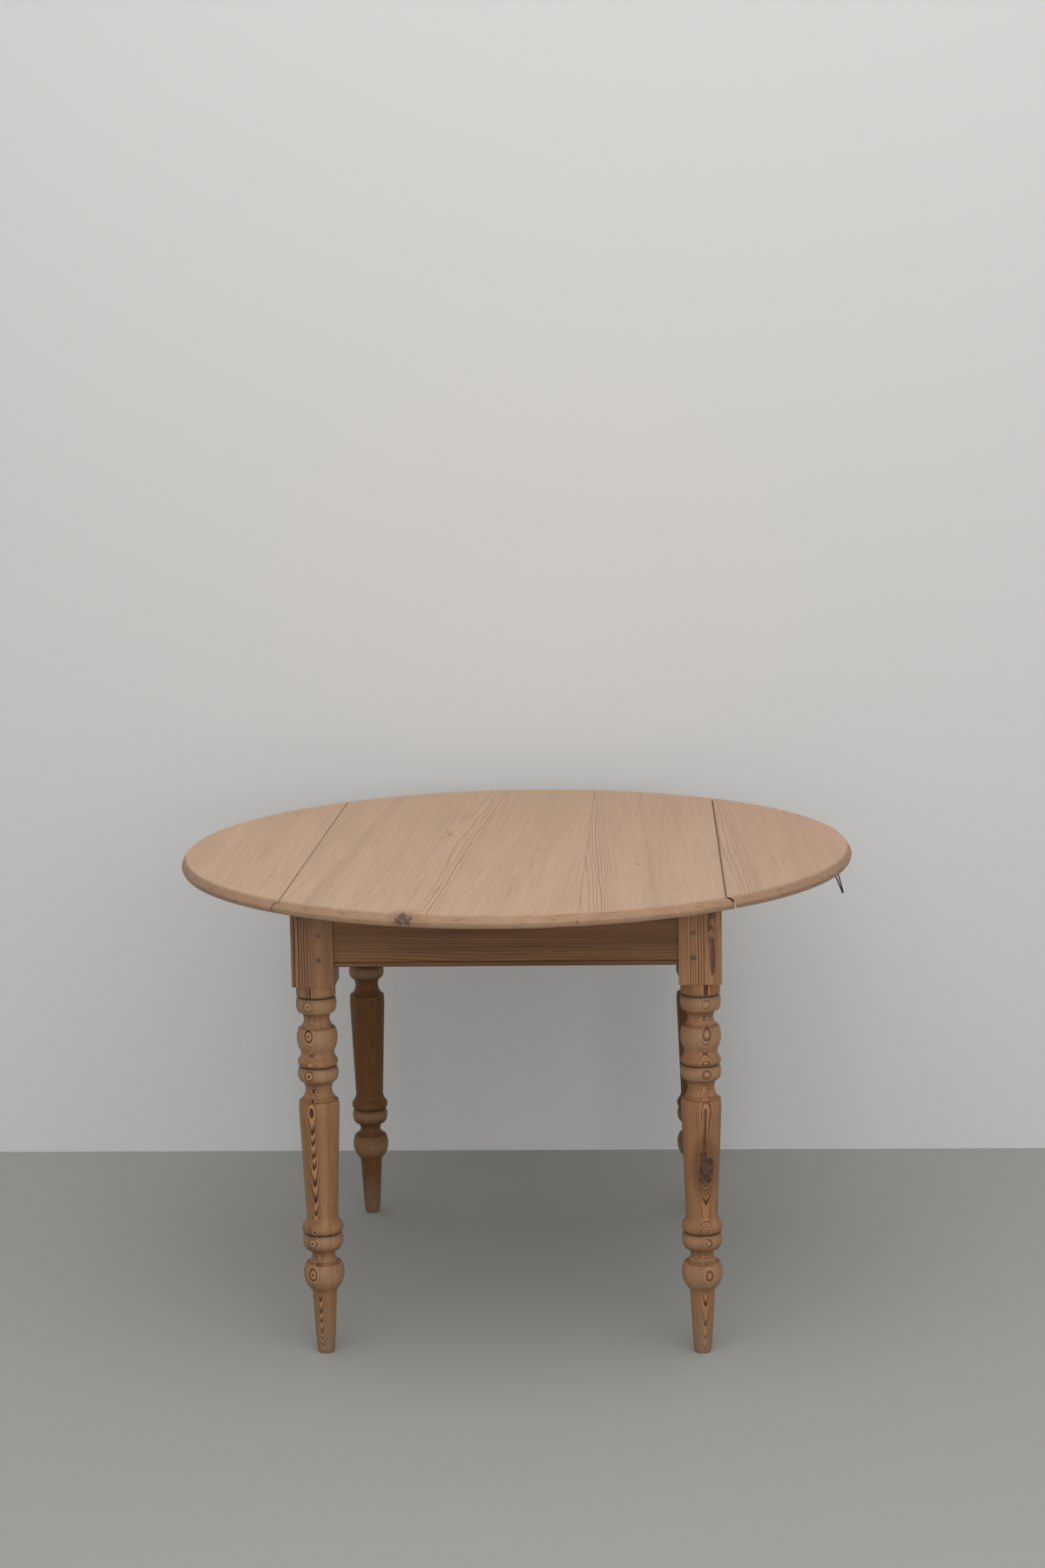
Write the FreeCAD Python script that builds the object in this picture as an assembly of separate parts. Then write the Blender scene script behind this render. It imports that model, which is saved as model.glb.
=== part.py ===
import FreeCAD, Part
import math
import os

from FreeCAD import Vector

# An old pine table with a fixed top of two boards and two small drop leaves, millimetres.
# X runs across the leaves, Y runs along the boards, Z is up.
# The origin is on the floor, under the middle of the top.

# Overall sizes
table_height = 750.0
top_length = 1196.0  # along Y, over the rounded ends
top_width = 1110.0  # along X, with both leaves up
top_thickness = 20.0
frame_length = 786.0  # along Y, over the outer faces of the legs
frame_width = 662.0  # along X, over the outer faces of the legs

# The top's worn edge: a slightly rounded slope above, and a short round below its widest line
edge_flat_inset = 8.0
edge_widest_drop = 12.0
edge_under_inset = 3.5
edge_upper_bulge = 0.8
edge_lower_bulge = 0.9
board_joint_x = 118.0  # where the two boards of the fixed top meet
board_chip_width = 11.0
board_chip_height = 9.0
board_chip_depth = 18.0
board_chip_flat = 2.0
leaf_chip_width = 7.0
leaf_chip_length = 9.0
leaf_chip_slope = 3.0

# Rule joint between the fixed top and each leaf
joint_step = 3.5  # the square step above the round
pin_above_underside = 2.5
hanging_gap = 1.5  # between a hanging leaf and the legs
leaf_gap_left = 0.8
leaf_gap_right = 2.4

# Legs: a square block above a turned leg
leg_block = 66.0
leg_block_height = 132.0
collar_height = 18.0  # the plain turned band under the block
foot_depth = 20.4  # how far the foot's end is turned in
leg_block_arris = 1.2
turning_margin = 0.8  # the widest ring is this much inside the block

# Aprons
apron_height = 102.0
apron_thickness = 22.0
apron_setback = 5.0  # behind the legs' outer faces
bead_height = 7.0
bead_round = 3.0
bead_top_round = 0.6
quirk_width = 1.6
quirk_depth = 2.0

# Mortise and tenon joints with draw pegs
tenon_thickness = 9.0
tenon_length = 40.0
tenon_top_shoulder = 18.0
tenon_bottom_shoulder = 4.0
peg_radius = 4.0
peg_length = 44.0
peg_proud = 0.5
peg_from_shoulder = 23.0
end_peg_heights = (12.0, 51.0)  # pegs of the front and back aprons, above their lower edge
side_peg_heights = (29.0, 69.0)  # pegs of the side aprons

# Blocks glued into the frame
corner_block_reach = 60.0
corner_block_height = 64.0
corner_block_drop = 6.0
glue_block_size = 24.0
glue_block_length = 90.0
glue_block_x = 95.0

# Pull-out bearers and the rail that they run through
bearer_width = 30.0
bearer_height = 34.0
bearer_travel = 170.0
bearer_spacing = 52.0  # between the two bearers' centre lines
bearer_clearance = 0.4
bearer_inset = 3.0  # how far a closed bearer's end lies inside the legs' outer faces
bearer_end_spare = 10.0
bearer_arris = 1.5
finger_groove_radius = 11.0
finger_groove_depth = 7.0
finger_groove_from_end = 26.0
rail_thickness = 22.0
rail_height = 70.0
rail_housing = 8.0
stop_pin_radius = 4.0
stop_pin_drop = 10.0
stop_pin_in_bearer = 24.0
stop_pin_gap = 0.3

# Hinges
hinge_from_middle = 250.0
hinge_width = 34.0
hinge_flap_thickness = 1.8
hinge_top_flap = 36.0
hinge_leaf_flap = 58.0
hinge_barrel_radius = 3.2
hinge_pin_radius = 1.6
hinge_pin_clearance = 0.06
hinge_middle_knuckle = 12.0
hinge_side_gap = 0.35
hinge_recess_gap = 0.45

# Screws
hinge_screw_radius = 1.7
hinge_screw_head = 3.6
hinge_screw_length = 14.0
hinge_screw_stagger = 9.0
hinge_top_screws_at = (13.0, 28.0)  # from the hinge's centre line
hinge_leaf_screws_at = (24.0, 46.0)
screw_tip_radius = 0.2
top_screw_radius = 2.2
top_screw_head = 4.2
top_screw_head_height = 3.0
top_screw_bite = 13.0
pocket_width = 20.0
pocket_height = 28.0
pocket_depth = 13.0
pocket_below_top = 22.0
pocket_head_gap = 1.5
screw_slot = 0.9
end_screw_x = 190.0
side_screw_y = 140.0

# Wire pull under the tip of the right leaf
pull_wire_radius = 1.1
pull_corner_radius = 2.1
pull_bar_length = 17.0
pull_drop = 46.0
pull_tip_radius = 1.6
pull_tilt = 20.0  # degrees, outwards from straight down
pull_turn = 9.5  # degrees, the staple isn't square to the rim
pull_below_top = 0.5
pull_y = -150.0
pull_from_edge = 19.0
pull_clearance = 0.08
staple_wire_radius = 1.0
staple_leg = 10.0

# How far a cutting shape runs past what it cuts
overcut = 1.0

# Worked out from the sizes above
underside = table_height - top_thickness
half_frame_x = frame_width / 2
half_frame_y = frame_length / 2
leg_x = half_frame_x - leg_block / 2
leg_y = half_frame_y - leg_block / 2
block_bottom = underside - leg_block_height
apron_bottom = underside - apron_height
apron_face_x = half_frame_x - apron_setback
apron_face_y = half_frame_y - apron_setback
apron_inner_x = apron_face_x - apron_thickness
apron_inner_y = apron_face_y - apron_thickness
shoulder_x = half_frame_x - leg_block
shoulder_y = half_frame_y - leg_block
joint_radius = top_thickness - joint_step - pin_above_underside
hinge_x = half_frame_x + hanging_gap + pin_above_underside
hinge_z = underside + pin_above_underside
bearer_top = underside - bearer_clearance
bearer_bottom = bearer_top - bearer_height
stop_reach = rail_thickness / 2 + stop_pin_radius + stop_pin_gap
bearer_outer_end = half_frame_x - bearer_inset
bearer_inner_end = stop_reach + bearer_travel + stop_pin_radius + bearer_end_spare

sides = {"left": -1, "right": 1}
ends = {"front": -1, "back": 1}

os.makedirs("parts", exist_ok=True)


def box(low, high):
    size = [high[i] - low[i] for i in range(3)]
    return Part.makeBox(size[0], size[1], size[2], Vector(*low))


def ordered_box(a, b):
    low = [min(a[i], b[i]) for i in range(3)]
    high = [max(a[i], b[i]) for i in range(3)]
    return box(low, high)


def rod(start, direction, radius, length):
    return Part.makeCylinder(radius, length, Vector(*start), Vector(*direction))


def outline_face(start, steps, place):
    # start and steps hold flat points; a step of two points is an arc through the first.
    edges = []
    here = start
    for step in steps:
        if len(step) == 2 and not isinstance(step[0], tuple):
            edges.append(Part.LineSegment(place(*here), place(*step)).toShape())
            here = step
        else:
            middle, end = step
            edges.append(Part.Arc(place(*here), place(*middle), place(*end)).toShape())
            here = end
    edges.append(Part.LineSegment(place(*here), place(*start)).toShape())
    return Part.Face(Part.Wire(edges))


def one_solid(shape):
    clean = shape.removeSplitter()
    return clean.Solids[0] if len(clean.Solids) == 1 else clean


def save(name, shape):
    shape.exportStep("parts/%s.step" % name)
    print("%-28s %d solid(s) %10.1f mm3" % (name, len(shape.Solids), shape.Volume))


# Legs

def turned_leg():
    # Depths are how far the gouge goes below the widest ring.
    widest = leg_block / 2 - turning_margin
    low = block_bottom - collar_height

    def place(depth, height):
        return Vector(widest - depth, 0, height)

    lower_steps = [
        (18.6, 6.0), (16.3, 34.0), (13.3, 94.0),
        ((12.6, 101.0), (11.2, 105.0)),
        ((0.35, 127.0), (4.2, 148.0)),
        (9.7, 148.5), (9.7, 151.5),
        ((14.0, 161.5), (8.2, 170.5)), (5.2, 171.5),
        ((0.5, 184.0), (2.7, 195.5)), (3.9, 197.5), (1.7, 199.5),
        ((0.0, 206.0), (2.6, 213.0)),
        ((6.2, 219.0), (7.25, 229.0)),
    ]
    upper_steps = [
        (0.85, low - 188.0), ((0.8, low - 177.0), (1.7, low - 168.5)),
        (7.2, low - 167.5), (7.2, low - 163.5),
        ((11.6, low - 150.0), (8.1, low - 138.5)), (3.9, low - 136.5),
        ((0.4, low - 125.5), (2.7, low - 115.5)), (3.9, low - 113.5), (2.5, low - 111.5),
        ((0.9, low - 106.5), (2.7, low - 101.5)),
        ((6.0, low - 95.0), (5.0, low - 87.0)),
        ((0.5, low - 65.5), (3.6, low - 52.5)),
        (8.7, low - 51.0), (8.7, low - 48.0),
        ((12.1, low - 37.5), (8.7, low - 28.5)), (3.4, low - 26.5),
        ((0.5, low - 14.0), (2.2, low - 4.5)), (3.8, low - 2.5), (1.5, low),
        (1.45, block_bottom), (widest, block_bottom), (widest, 0.0),
    ]
    turning = outline_face((foot_depth, 0.0), lower_steps + upper_steps, place)
    turned = turning.revolve(Vector(0, 0, 0), Vector(0, 0, 1), 360)
    half = leg_block / 2
    block = box((-half, -half, block_bottom), (half, half, underside))
    upright = [edge for edge in block.Edges if abs(edge.tangentAt(0).z) > 0.99]
    return one_solid(block.makeFillet(leg_block_arris, upright).fuse(turned))


# Aprons and their joints

def apron_section(place):
    t = apron_thickness
    h = apron_height
    r = bead_round
    corner = r * (1 - math.sqrt(0.5))
    top_of_bead = bead_height
    steps = [
        (r, 0), ((corner, corner), (0, r)),
        (0, top_of_bead - quirk_depth),
        ((bead_top_round, top_of_bead - bead_top_round), (quirk_depth, top_of_bead)),
        (quirk_depth, top_of_bead + quirk_width / 2), (0, top_of_bead + quirk_width),
        (0, h), (t, h),
    ]
    return outline_face((t, 0), steps, place)


def tenon_low():
    return apron_bottom + tenon_bottom_shoulder


def tenon_high():
    return underside - tenon_top_shoulder


def end_apron(side):
    # side is -1 for the front apron and 1 for the back one
    def place(depth, height):
        return Vector(-shoulder_x, side * (apron_face_y - depth), apron_bottom + height)

    board = apron_section(place).extrude(Vector(2 * shoulder_x, 0, 0))
    middle = apron_face_y - apron_thickness / 2
    reach = shoulder_x + tenon_length
    tenon = ordered_box((-reach, side * (middle - tenon_thickness / 2), tenon_low()),
                        (reach, side * (middle + tenon_thickness / 2), tenon_high()))
    return board.fuse(tenon)


def side_apron(side):
    # side is -1 for the left apron and 1 for the right one
    def place(depth, height):
        return Vector(side * (apron_face_x - depth), -shoulder_y, apron_bottom + height)

    board = apron_section(place).extrude(Vector(0, 2 * shoulder_y, 0))
    middle = apron_face_x - apron_thickness / 2
    reach = shoulder_y + tenon_length
    tenon = ordered_box((side * (middle - tenon_thickness / 2), -reach, tenon_low()),
                        (side * (middle + tenon_thickness / 2), reach, tenon_high()))
    return board.fuse(tenon)


def leg_pegs(sx, sy):
    pegs = []
    for height in end_peg_heights:
        start = (sx * (shoulder_x + peg_from_shoulder), sy * (half_frame_y + peg_proud),
                 apron_bottom + height)
        pegs.append(rod(start, (0, -sy, 0), peg_radius, peg_length + peg_proud))
    for height in side_peg_heights:
        start = (sx * (half_frame_x + peg_proud), sy * (shoulder_y + peg_from_shoulder),
                 apron_bottom + height)
        pegs.append(rod(start, (-sx, 0, 0), peg_radius, peg_length + peg_proud))
    return Part.makeCompound(pegs)


# Blocks and rail inside the frame

def corner_block(sx, sy):
    def place(x, y):
        return Vector(sx * x, sy * y, underside - corner_block_drop)

    steps = [
        (shoulder_x - corner_block_reach, apron_inner_y),
        (apron_inner_x, shoulder_y - corner_block_reach),
        (apron_inner_x, shoulder_y),
        (shoulder_x, shoulder_y),
    ]
    face = outline_face((shoulder_x, apron_inner_y), steps, place)
    return face.extrude(Vector(0, 0, -corner_block_height))


def glue_block(sx, sy):
    half = glue_block_length / 2
    face_y = sy * apron_inner_y
    return ordered_box((sx * (glue_block_x - half), face_y, underside - glue_block_size),
                       (sx * (glue_block_x + half), face_y - sy * glue_block_size, underside))


def bearer_rail():
    half = rail_thickness / 2
    reach = apron_inner_y + rail_housing
    rail = box((-half, -reach, underside - rail_height), (half, reach, underside))
    for side in sides.values():
        rail = rail.cut(bearer_notch(side, -half, half))
    return rail


# Bearers

def bearer_notch(side, low_x, high_x):
    centre = side * bearer_spacing / 2
    half = bearer_width / 2 + bearer_clearance
    floor = bearer_bottom - bearer_clearance
    return box((low_x - overcut, centre - half, floor),
               (high_x + overcut, centre + half, underside + overcut))


def bearer(side):
    centre = side * bearer_spacing / 2
    half = bearer_width / 2
    bar = ordered_box((side * bearer_outer_end, centre - half, bearer_bottom),
                      (-side * bearer_inner_end, centre + half, bearer_top))
    outer = [edge for edge in bar.Edges if abs(edge.CenterOfMass.x - side * bearer_outer_end) < 0.1]
    bar = bar.makeFillet(bearer_arris, outer)
    groove_z = bearer_bottom - finger_groove_radius + finger_groove_depth
    groove_x = side * (bearer_outer_end - finger_groove_from_end)
    groove = rod((groove_x, centre - half - overcut, groove_z), (0, 1, 0), finger_groove_radius,
                 bearer_width + 2 * overcut)
    return bar.cut(groove).cut(stop_pins(side))


def stop_pins(side):
    centre = side * bearer_spacing / 2
    length = stop_pin_in_bearer + stop_pin_drop
    low = bearer_bottom - stop_pin_drop
    closed_stop = rod((side * stop_reach, centre, low), (0, 0, 1), stop_pin_radius, length)
    open_x = -side * (stop_reach + bearer_travel)
    open_stop = rod((open_x, centre, low), (0, 0, 1), stop_pin_radius, length)
    return Part.makeCompound([closed_stop, open_stop])


# Top and leaves

def whole_top():
    # A flat slab, cut all round by a ring that leaves the oval and its worn edge. The ring is
    # turned as a circle, reaches past the slab's corners, and is then narrowed along X.
    half_length = top_length / 2
    half_width = top_width / 2
    outside = half_length / 2
    slab = box((-half_width - overcut, -half_length - overcut, underside),
               (half_width + overcut, half_length + overcut, table_height))

    def place(inset, drop):
        return Vector(half_length - inset, 0, table_height - drop)

    upper_middle = bulged((edge_flat_inset, 0.0), (0.0, edge_widest_drop), edge_upper_bulge)
    lower_middle = bulged((0.0, edge_widest_drop), (edge_under_inset, top_thickness),
                          edge_lower_bulge)
    steps = [
        (upper_middle, (0.0, edge_widest_drop)),
        (lower_middle, (edge_under_inset, top_thickness)),
        (edge_under_inset, top_thickness + overcut), (-outside, top_thickness + overcut),
        (-outside, -overcut), (edge_flat_inset, -overcut),
    ]
    profile = outline_face((edge_flat_inset, 0.0), steps, place)
    ring = profile.revolve(Vector(0, 0, 0), Vector(0, 0, 1), 360)
    narrowing = FreeCAD.Matrix()
    narrowing.scale(top_width / top_length, 1, 1)
    return slab.cut(ring.transformGeometry(narrowing))


def bulged(start, end, bulge):
    # The middle of a chord, moved outwards
    run = end[0] - start[0]
    drop = end[1] - start[1]
    chord = math.hypot(run, drop)
    return ((start[0] + end[0]) / 2 - bulge * drop / chord,
            (start[1] + end[1]) / 2 + bulge * run / chord)


def leaf_region(side, gap):
    # The leaf's side of the rule joint, as one long bar along Y
    radius = joint_radius + gap
    diagonal = radius * math.sqrt(0.5)
    above = table_height + overcut
    below = underside - overcut

    def place(x, z):
        return Vector(side * x, -top_length, z)

    steps = [
        (hinge_x + gap, hinge_z + math.sqrt(radius ** 2 - gap ** 2)),
        ((hinge_x + diagonal, hinge_z + diagonal), (hinge_x + radius, hinge_z)),
        (hinge_x + radius, below), (top_width, below), (top_width, above),
    ]
    face = outline_face((hinge_x + gap, above), steps, place)
    return face.extrude(Vector(0, 2 * top_length, 0))


def fixed_region():
    # The fixed top between its two rounded joint edges, as one long bar along Y
    diagonal = joint_radius * math.sqrt(0.5)
    round_end = hinge_x + joint_radius
    step_z = hinge_z + joint_radius
    above = table_height + overcut
    below = underside - overcut

    def place(x, z):
        return Vector(x, -top_length, z)

    steps = [
        (hinge_x, step_z), ((hinge_x + diagonal, hinge_z + diagonal), (round_end, hinge_z)),
        (round_end, below), (-round_end, below), (-round_end, hinge_z),
        ((-hinge_x - diagonal, hinge_z + diagonal), (-hinge_x, step_z)), (-hinge_x, above),
    ]
    return outline_face((hinge_x, above), steps, place).extrude(Vector(0, 2 * top_length, 0))


def front_chip():
    # A small break in the front edge, where the two boards meet
    low = underside - overcut
    high = underside + board_chip_height
    past_joint = board_joint_x + overcut
    steps = [(board_joint_x - board_chip_flat, high), (past_joint, high), (past_joint, low)]

    def place(x, z):
        return Vector(x, -top_length / 2 - overcut, z)

    chip = outline_face((board_joint_x - board_chip_width, low), steps, place)
    return chip.extrude(Vector(0, board_chip_depth + overcut, 0))


def leaf_corner_chip():
    # A worn corner at the front end of the right leaf's joint
    half_width = top_width / 2
    rim_y = -top_length / 2 * math.sqrt(1 - (hinge_x / half_width) ** 2)
    near = hinge_x
    far = hinge_x + leaf_gap_right + leaf_chip_width
    front = rim_y - leaf_chip_slope
    steps = [(far, front), (far, rim_y + leaf_chip_slope),
             (near, rim_y + leaf_chip_slope + leaf_chip_length)]

    def place(x, y):
        return Vector(x, y, underside - overcut)

    chip = outline_face((near, front), steps, place)
    return chip.extrude(Vector(0, 0, top_thickness + 2 * overcut))


def top_boards():
    fixed = whole_top().common(fixed_region())
    right_of_joint = box((board_joint_x, -top_length, 0), (top_width, top_length, 2 * table_height))
    wide = fixed.cut(right_of_joint).cut(front_chip())
    narrow = fixed.common(right_of_joint)
    return wide, narrow


def leaf(side, gap):
    return whole_top().common(leaf_region(side, gap))


# Hinges

def knuckle(side, low_y, high_y):
    barrel = rod((side * hinge_x, low_y, hinge_z), (0, 1, 0), hinge_barrel_radius, high_y - low_y)
    bore = rod((side * hinge_x, low_y - overcut, hinge_z), (0, 1, 0),
               hinge_pin_radius + hinge_pin_clearance, high_y - low_y + 2 * overcut)
    return barrel, bore


def flap_box(side, near, far, low_y, high_y):
    return ordered_box((side * near, low_y, underside),
                       (side * far, high_y, underside + hinge_flap_thickness))


def hinge_top_plate(side, y):
    half = hinge_width / 2
    middle = hinge_middle_knuckle / 2
    clear = hinge_x - hinge_barrel_radius - hinge_side_gap
    plate = flap_box(side, hinge_x - hinge_top_flap, clear, y - half, y + half)
    tongue = flap_box(side, clear, hinge_x, y - middle, y + middle)
    barrel, bore = knuckle(side, y - middle, y + middle)
    return plate.fuse(tongue).fuse(barrel).cut(bore)


def hinge_leaf_plate(side, y):
    half = hinge_width / 2
    middle = hinge_middle_knuckle / 2 + hinge_side_gap
    clear = hinge_x + hinge_barrel_radius + hinge_side_gap
    plate = flap_box(side, clear, hinge_x + hinge_leaf_flap, y - half, y + half)
    for low, high in ((y - half, y - middle), (y + middle, y + half)):
        tongue = flap_box(side, hinge_x, clear, low, high)
        barrel, bore = knuckle(side, low, high)
        plate = plate.fuse(tongue).fuse(barrel).cut(bore)
    return plate


def hinge_pin(side, y):
    return rod((side * hinge_x, y - hinge_width / 2, hinge_z), (0, 1, 0), hinge_pin_radius,
               hinge_width)


def hinge_recess(side, y):
    # Room in the fixed top for the barrel and for the leaf's flap under the round
    half = hinge_width / 2 + hinge_recess_gap
    barrel_room = hinge_barrel_radius + hinge_recess_gap
    round_end = hinge_x + joint_radius + overcut
    flap_top = underside + hinge_flap_thickness + hinge_recess_gap
    barrel = rod((side * hinge_x, y - half, hinge_z), (0, 1, 0), barrel_room, 2 * half)
    low = underside - overcut
    below = ordered_box((side * (hinge_x - barrel_room), y - half, low),
                        (side * (hinge_x + barrel_room), y + half, hinge_z))
    flap = ordered_box((side * hinge_x, y - half, low), (side * round_end, y + half, flap_top))
    return barrel.fuse(below).fuse(flap)


def wood_screw(x, y, radius, head, length):
    # Countersunk from below, flush with the underside
    head_height = head - radius
    steps = [
        (head, 0), (radius, head_height), (radius, length - 3 * radius), (screw_tip_radius, length),
        (0, length),
    ]

    def place(r, z):
        return Vector(x + r, y, underside + z)

    profile = outline_face((0, 0), steps, place)
    body = profile.revolve(Vector(x, y, underside), Vector(0, 0, 1), 360)
    slot = box((x - head, y - screw_slot / 2, underside - overcut),
               (x + head, y + screw_slot / 2, underside + screw_slot))
    return body, body.cut(slot)


def hinge_screws(side, y, on_leaf):
    step = hinge_screw_stagger
    if on_leaf:
        near, far = [hinge_x + reach for reach in hinge_leaf_screws_at]
    else:
        near, far = [hinge_x - reach for reach in hinge_top_screws_at]
    places = [(near, y - step), (near, y + step), (far, y)]
    return [wood_screw(side * px, py, hinge_screw_radius, hinge_screw_head, hinge_screw_length)
            for px, py in places]


# Screws that hold the top, in pockets inside the aprons

def pocket_screw(x, y):
    z = underside - pocket_below_top
    head = rod((x, y, z - top_screw_head_height), (0, 0, 1), top_screw_head, top_screw_head_height)
    shank = rod((x, y, z), (0, 0, 1), top_screw_radius, pocket_below_top + top_screw_bite)
    slot = box((x - top_screw_head, y - screw_slot / 2, z - top_screw_head_height - overcut),
               (x + top_screw_head, y + screw_slot / 2, z - top_screw_head_height + screw_slot))
    return shank, head.fuse(shank).cut(slot)


def pocket_places():
    inside = pocket_depth - top_screw_head - pocket_head_gap
    along_ends = [(sx * end_screw_x, sy * (apron_inner_y + inside)) for sx in sides.values()
                  for sy in ends.values()]
    along_sides = [(sx * (apron_inner_x + inside), sy * side_screw_y) for sx in sides.values()
                   for sy in ends.values()]
    return along_ends, along_sides


def pockets():
    high = underside - pocket_below_top
    low = high - pocket_height
    half = pocket_width / 2
    shapes = []
    for sx in sides.values():
        for sy in ends.values():
            x = sx * end_screw_x
            shapes.append(ordered_box((x - half, sy * (apron_inner_y - overcut), low),
                                      (x + half, sy * (apron_inner_y + pocket_depth), high)))
            y = sy * side_screw_y
            shapes.append(ordered_box((sx * (apron_inner_x - overcut), y - half, low),
                                      (sx * (apron_inner_x + pocket_depth), y + half, high)))
    return Part.makeCompound(shapes)


# Wire pull and its staple

def pull_frame():
    # Place of the bar's middle, the bar's direction and the outward direction across it
    half_width = top_width / 2
    half_length = top_length / 2
    edge_x = half_width * math.sqrt(1 - (pull_y / half_length) ** 2)
    rim = math.atan2(-half_width ** 2 * pull_y, half_length ** 2 * edge_x)
    rim += math.radians(pull_turn)
    along = Vector(math.sin(rim), math.cos(rim), 0)
    outward = along.cross(Vector(0, 0, 1))
    bar_z = underside - pull_wire_radius - pull_below_top
    middle = Vector(edge_x, pull_y, bar_z) - outward * pull_from_edge
    return middle, along, outward


def pull_loop():
    middle, along, outward = pull_frame()
    tilt = math.radians(pull_tilt)
    down = outward * math.sin(tilt) + Vector(0, 0, -math.cos(tilt))
    half = pull_bar_length / 2
    # A triangle of wire with rounded corners, as one closed path
    corners = [middle + along * half, middle - along * half, middle + down * pull_drop]
    radii = [pull_corner_radius, pull_corner_radius, pull_tip_radius]
    edges = []
    stops = []
    for i in range(3):
        here = corners[i]
        before = (corners[i - 1] - here).normalize()
        after = (corners[(i + 1) % 3] - here).normalize()
        opening = before.getAngle(after)
        back = radii[i] / math.tan(opening / 2)
        inward = (before + after).normalize()
        centre = here + inward * (radii[i] / math.sin(opening / 2))
        stops.append((here + before * back, centre - inward * radii[i], here + after * back))
    for i in range(3):
        edges.append(Part.Arc(*stops[i]).toShape())
        edges.append(Part.LineSegment(stops[i][2], stops[(i + 1) % 3][0]).toShape())
    path = Part.Wire(edges)
    start = stops[0][0]
    direction = corners[0] - corners[2]
    circle = Part.Wire(Part.makeCircle(pull_wire_radius, start, direction))
    sweep = Part.BRepOffsetAPI.MakePipeShell(path)
    sweep.add(circle)
    sweep.build()
    sweep.makeSolid()
    return sweep.shape()


def pull_staple():
    middle, along, outward = pull_frame()
    radius = pull_wire_radius + pull_clearance + staple_wire_radius
    up = Vector(0, 0, 1)
    top_z = underside + staple_leg
    rise = top_z - middle.z
    left = middle - outward * radius
    right = middle + outward * radius
    arc = Part.Arc(left, middle - up * radius, right).toShape()
    path = Part.Wire([Part.LineSegment(left + up * rise, left).toShape(), arc,
                      Part.LineSegment(right, right + up * rise).toShape()])
    circle = Part.Wire(Part.makeCircle(staple_wire_radius, left + up * rise, up))
    sweep = Part.BRepOffsetAPI.MakePipeShell(path)
    sweep.add(circle)
    sweep.build()
    sweep.makeSolid()
    return sweep.shape()


# Assembly

end_aprons = {"front": end_apron(-1), "back": end_apron(1)}
side_aprons = {"left": side_apron(-1), "right": side_apron(1)}
rail = bearer_rail()
all_pockets = pockets()
along_ends, along_sides = pocket_places()
pocket_screws = [pocket_screw(x, y) for x, y in along_ends + along_sides]
screw_shanks = Part.makeCompound([shank for shank, screw in pocket_screws])
pegs = {(sx, sy): leg_pegs(sx, sy) for sx in sides.values() for sy in ends.values()}
all_pegs = Part.makeCompound(list(pegs.values()))

for side_name, sx in sides.items():
    for end_name, sy in ends.items():
        leg = turned_leg()
        leg.translate(Vector(sx * leg_x, sy * leg_y, 0))
        leg = leg.cut(end_aprons[end_name]).cut(side_aprons[side_name]).cut(pegs[(sx, sy)])
        save("leg_%s_%s" % (end_name, side_name), one_solid(leg))
        save("tenon_pegs_%s_%s" % (end_name, side_name), pegs[(sx, sy)])
        save("corner_block_%s_%s" % (end_name, side_name), corner_block(sx, sy))
        save("glue_block_%s_%s" % (end_name, side_name), glue_block(sx, sy))

for end_name, apron in end_aprons.items():
    shape = apron.cut(rail).cut(all_pockets).cut(screw_shanks).cut(all_pegs)
    save("apron_" + end_name, one_solid(shape))

for side_name, apron in side_aprons.items():
    sx = sides[side_name]
    low = min(sx * apron_face_x, sx * apron_inner_x)
    notch = bearer_notch(sx, low, low + apron_thickness)
    shape = apron.cut(notch).cut(all_pockets).cut(screw_shanks).cut(all_pegs)
    save("apron_" + side_name, one_solid(shape))

save("bearer_rail", one_solid(rail))
save("top_screws", Part.makeCompound([screw for shank, screw in pocket_screws]))

for side_name, sx in sides.items():
    save("bearer_" + side_name, one_solid(bearer(sx)))
    save("bearer_stop_pins_" + side_name, stop_pins(sx))

hinge_ys = {end_name: sy * hinge_from_middle for end_name, sy in ends.items()}
wide, narrow = top_boards()
boards = {"left": wide, "right": narrow}
top_hinge_screws = []
gaps = {"left": leaf_gap_left, "right": leaf_gap_right}
for side_name, sx in sides.items():
    board = boards[side_name].cut(screw_shanks)
    leaf_board = leaf(sx, gaps[side_name])
    leaf_screws = []
    for end_name, y in hinge_ys.items():
        top_pairs = hinge_screws(sx, y, False)
        leaf_pairs = hinge_screws(sx, y, True)
        top_plate = hinge_top_plate(sx, y)
        leaf_plate = hinge_leaf_plate(sx, y)
        top_cores = Part.makeCompound([core for core, screw in top_pairs])
        leaf_cores = Part.makeCompound([core for core, screw in leaf_pairs])
        board = board.cut(hinge_recess(sx, y)).cut(top_plate).cut(top_cores)
        leaf_board = leaf_board.cut(leaf_plate).cut(leaf_cores)
        save("hinge_top_plate_%s_%s" % (side_name, end_name), one_solid(top_plate.cut(top_cores)))
        save("hinge_leaf_plate_%s_%s" % (side_name, end_name), one_solid(leaf_plate.cut(leaf_cores)))
        save("hinge_pin_%s_%s" % (side_name, end_name), hinge_pin(sx, y))
        top_hinge_screws += [screw for core, screw in top_pairs]
        leaf_screws += [screw for core, screw in leaf_pairs]
    save("top_board_" + side_name, one_solid(board))
    save("hinge_leaf_screws_" + side_name, Part.makeCompound(leaf_screws))
    if sx > 0:
        staple = pull_staple()
        leaf_board = leaf_board.cut(staple).cut(leaf_corner_chip())
        save("pull_staple", staple)
        save("pull_loop", pull_loop())
    save("leaf_" + side_name, one_solid(leaf_board))
save("hinge_top_screws", Part.makeCompound(top_hinge_screws))
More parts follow.
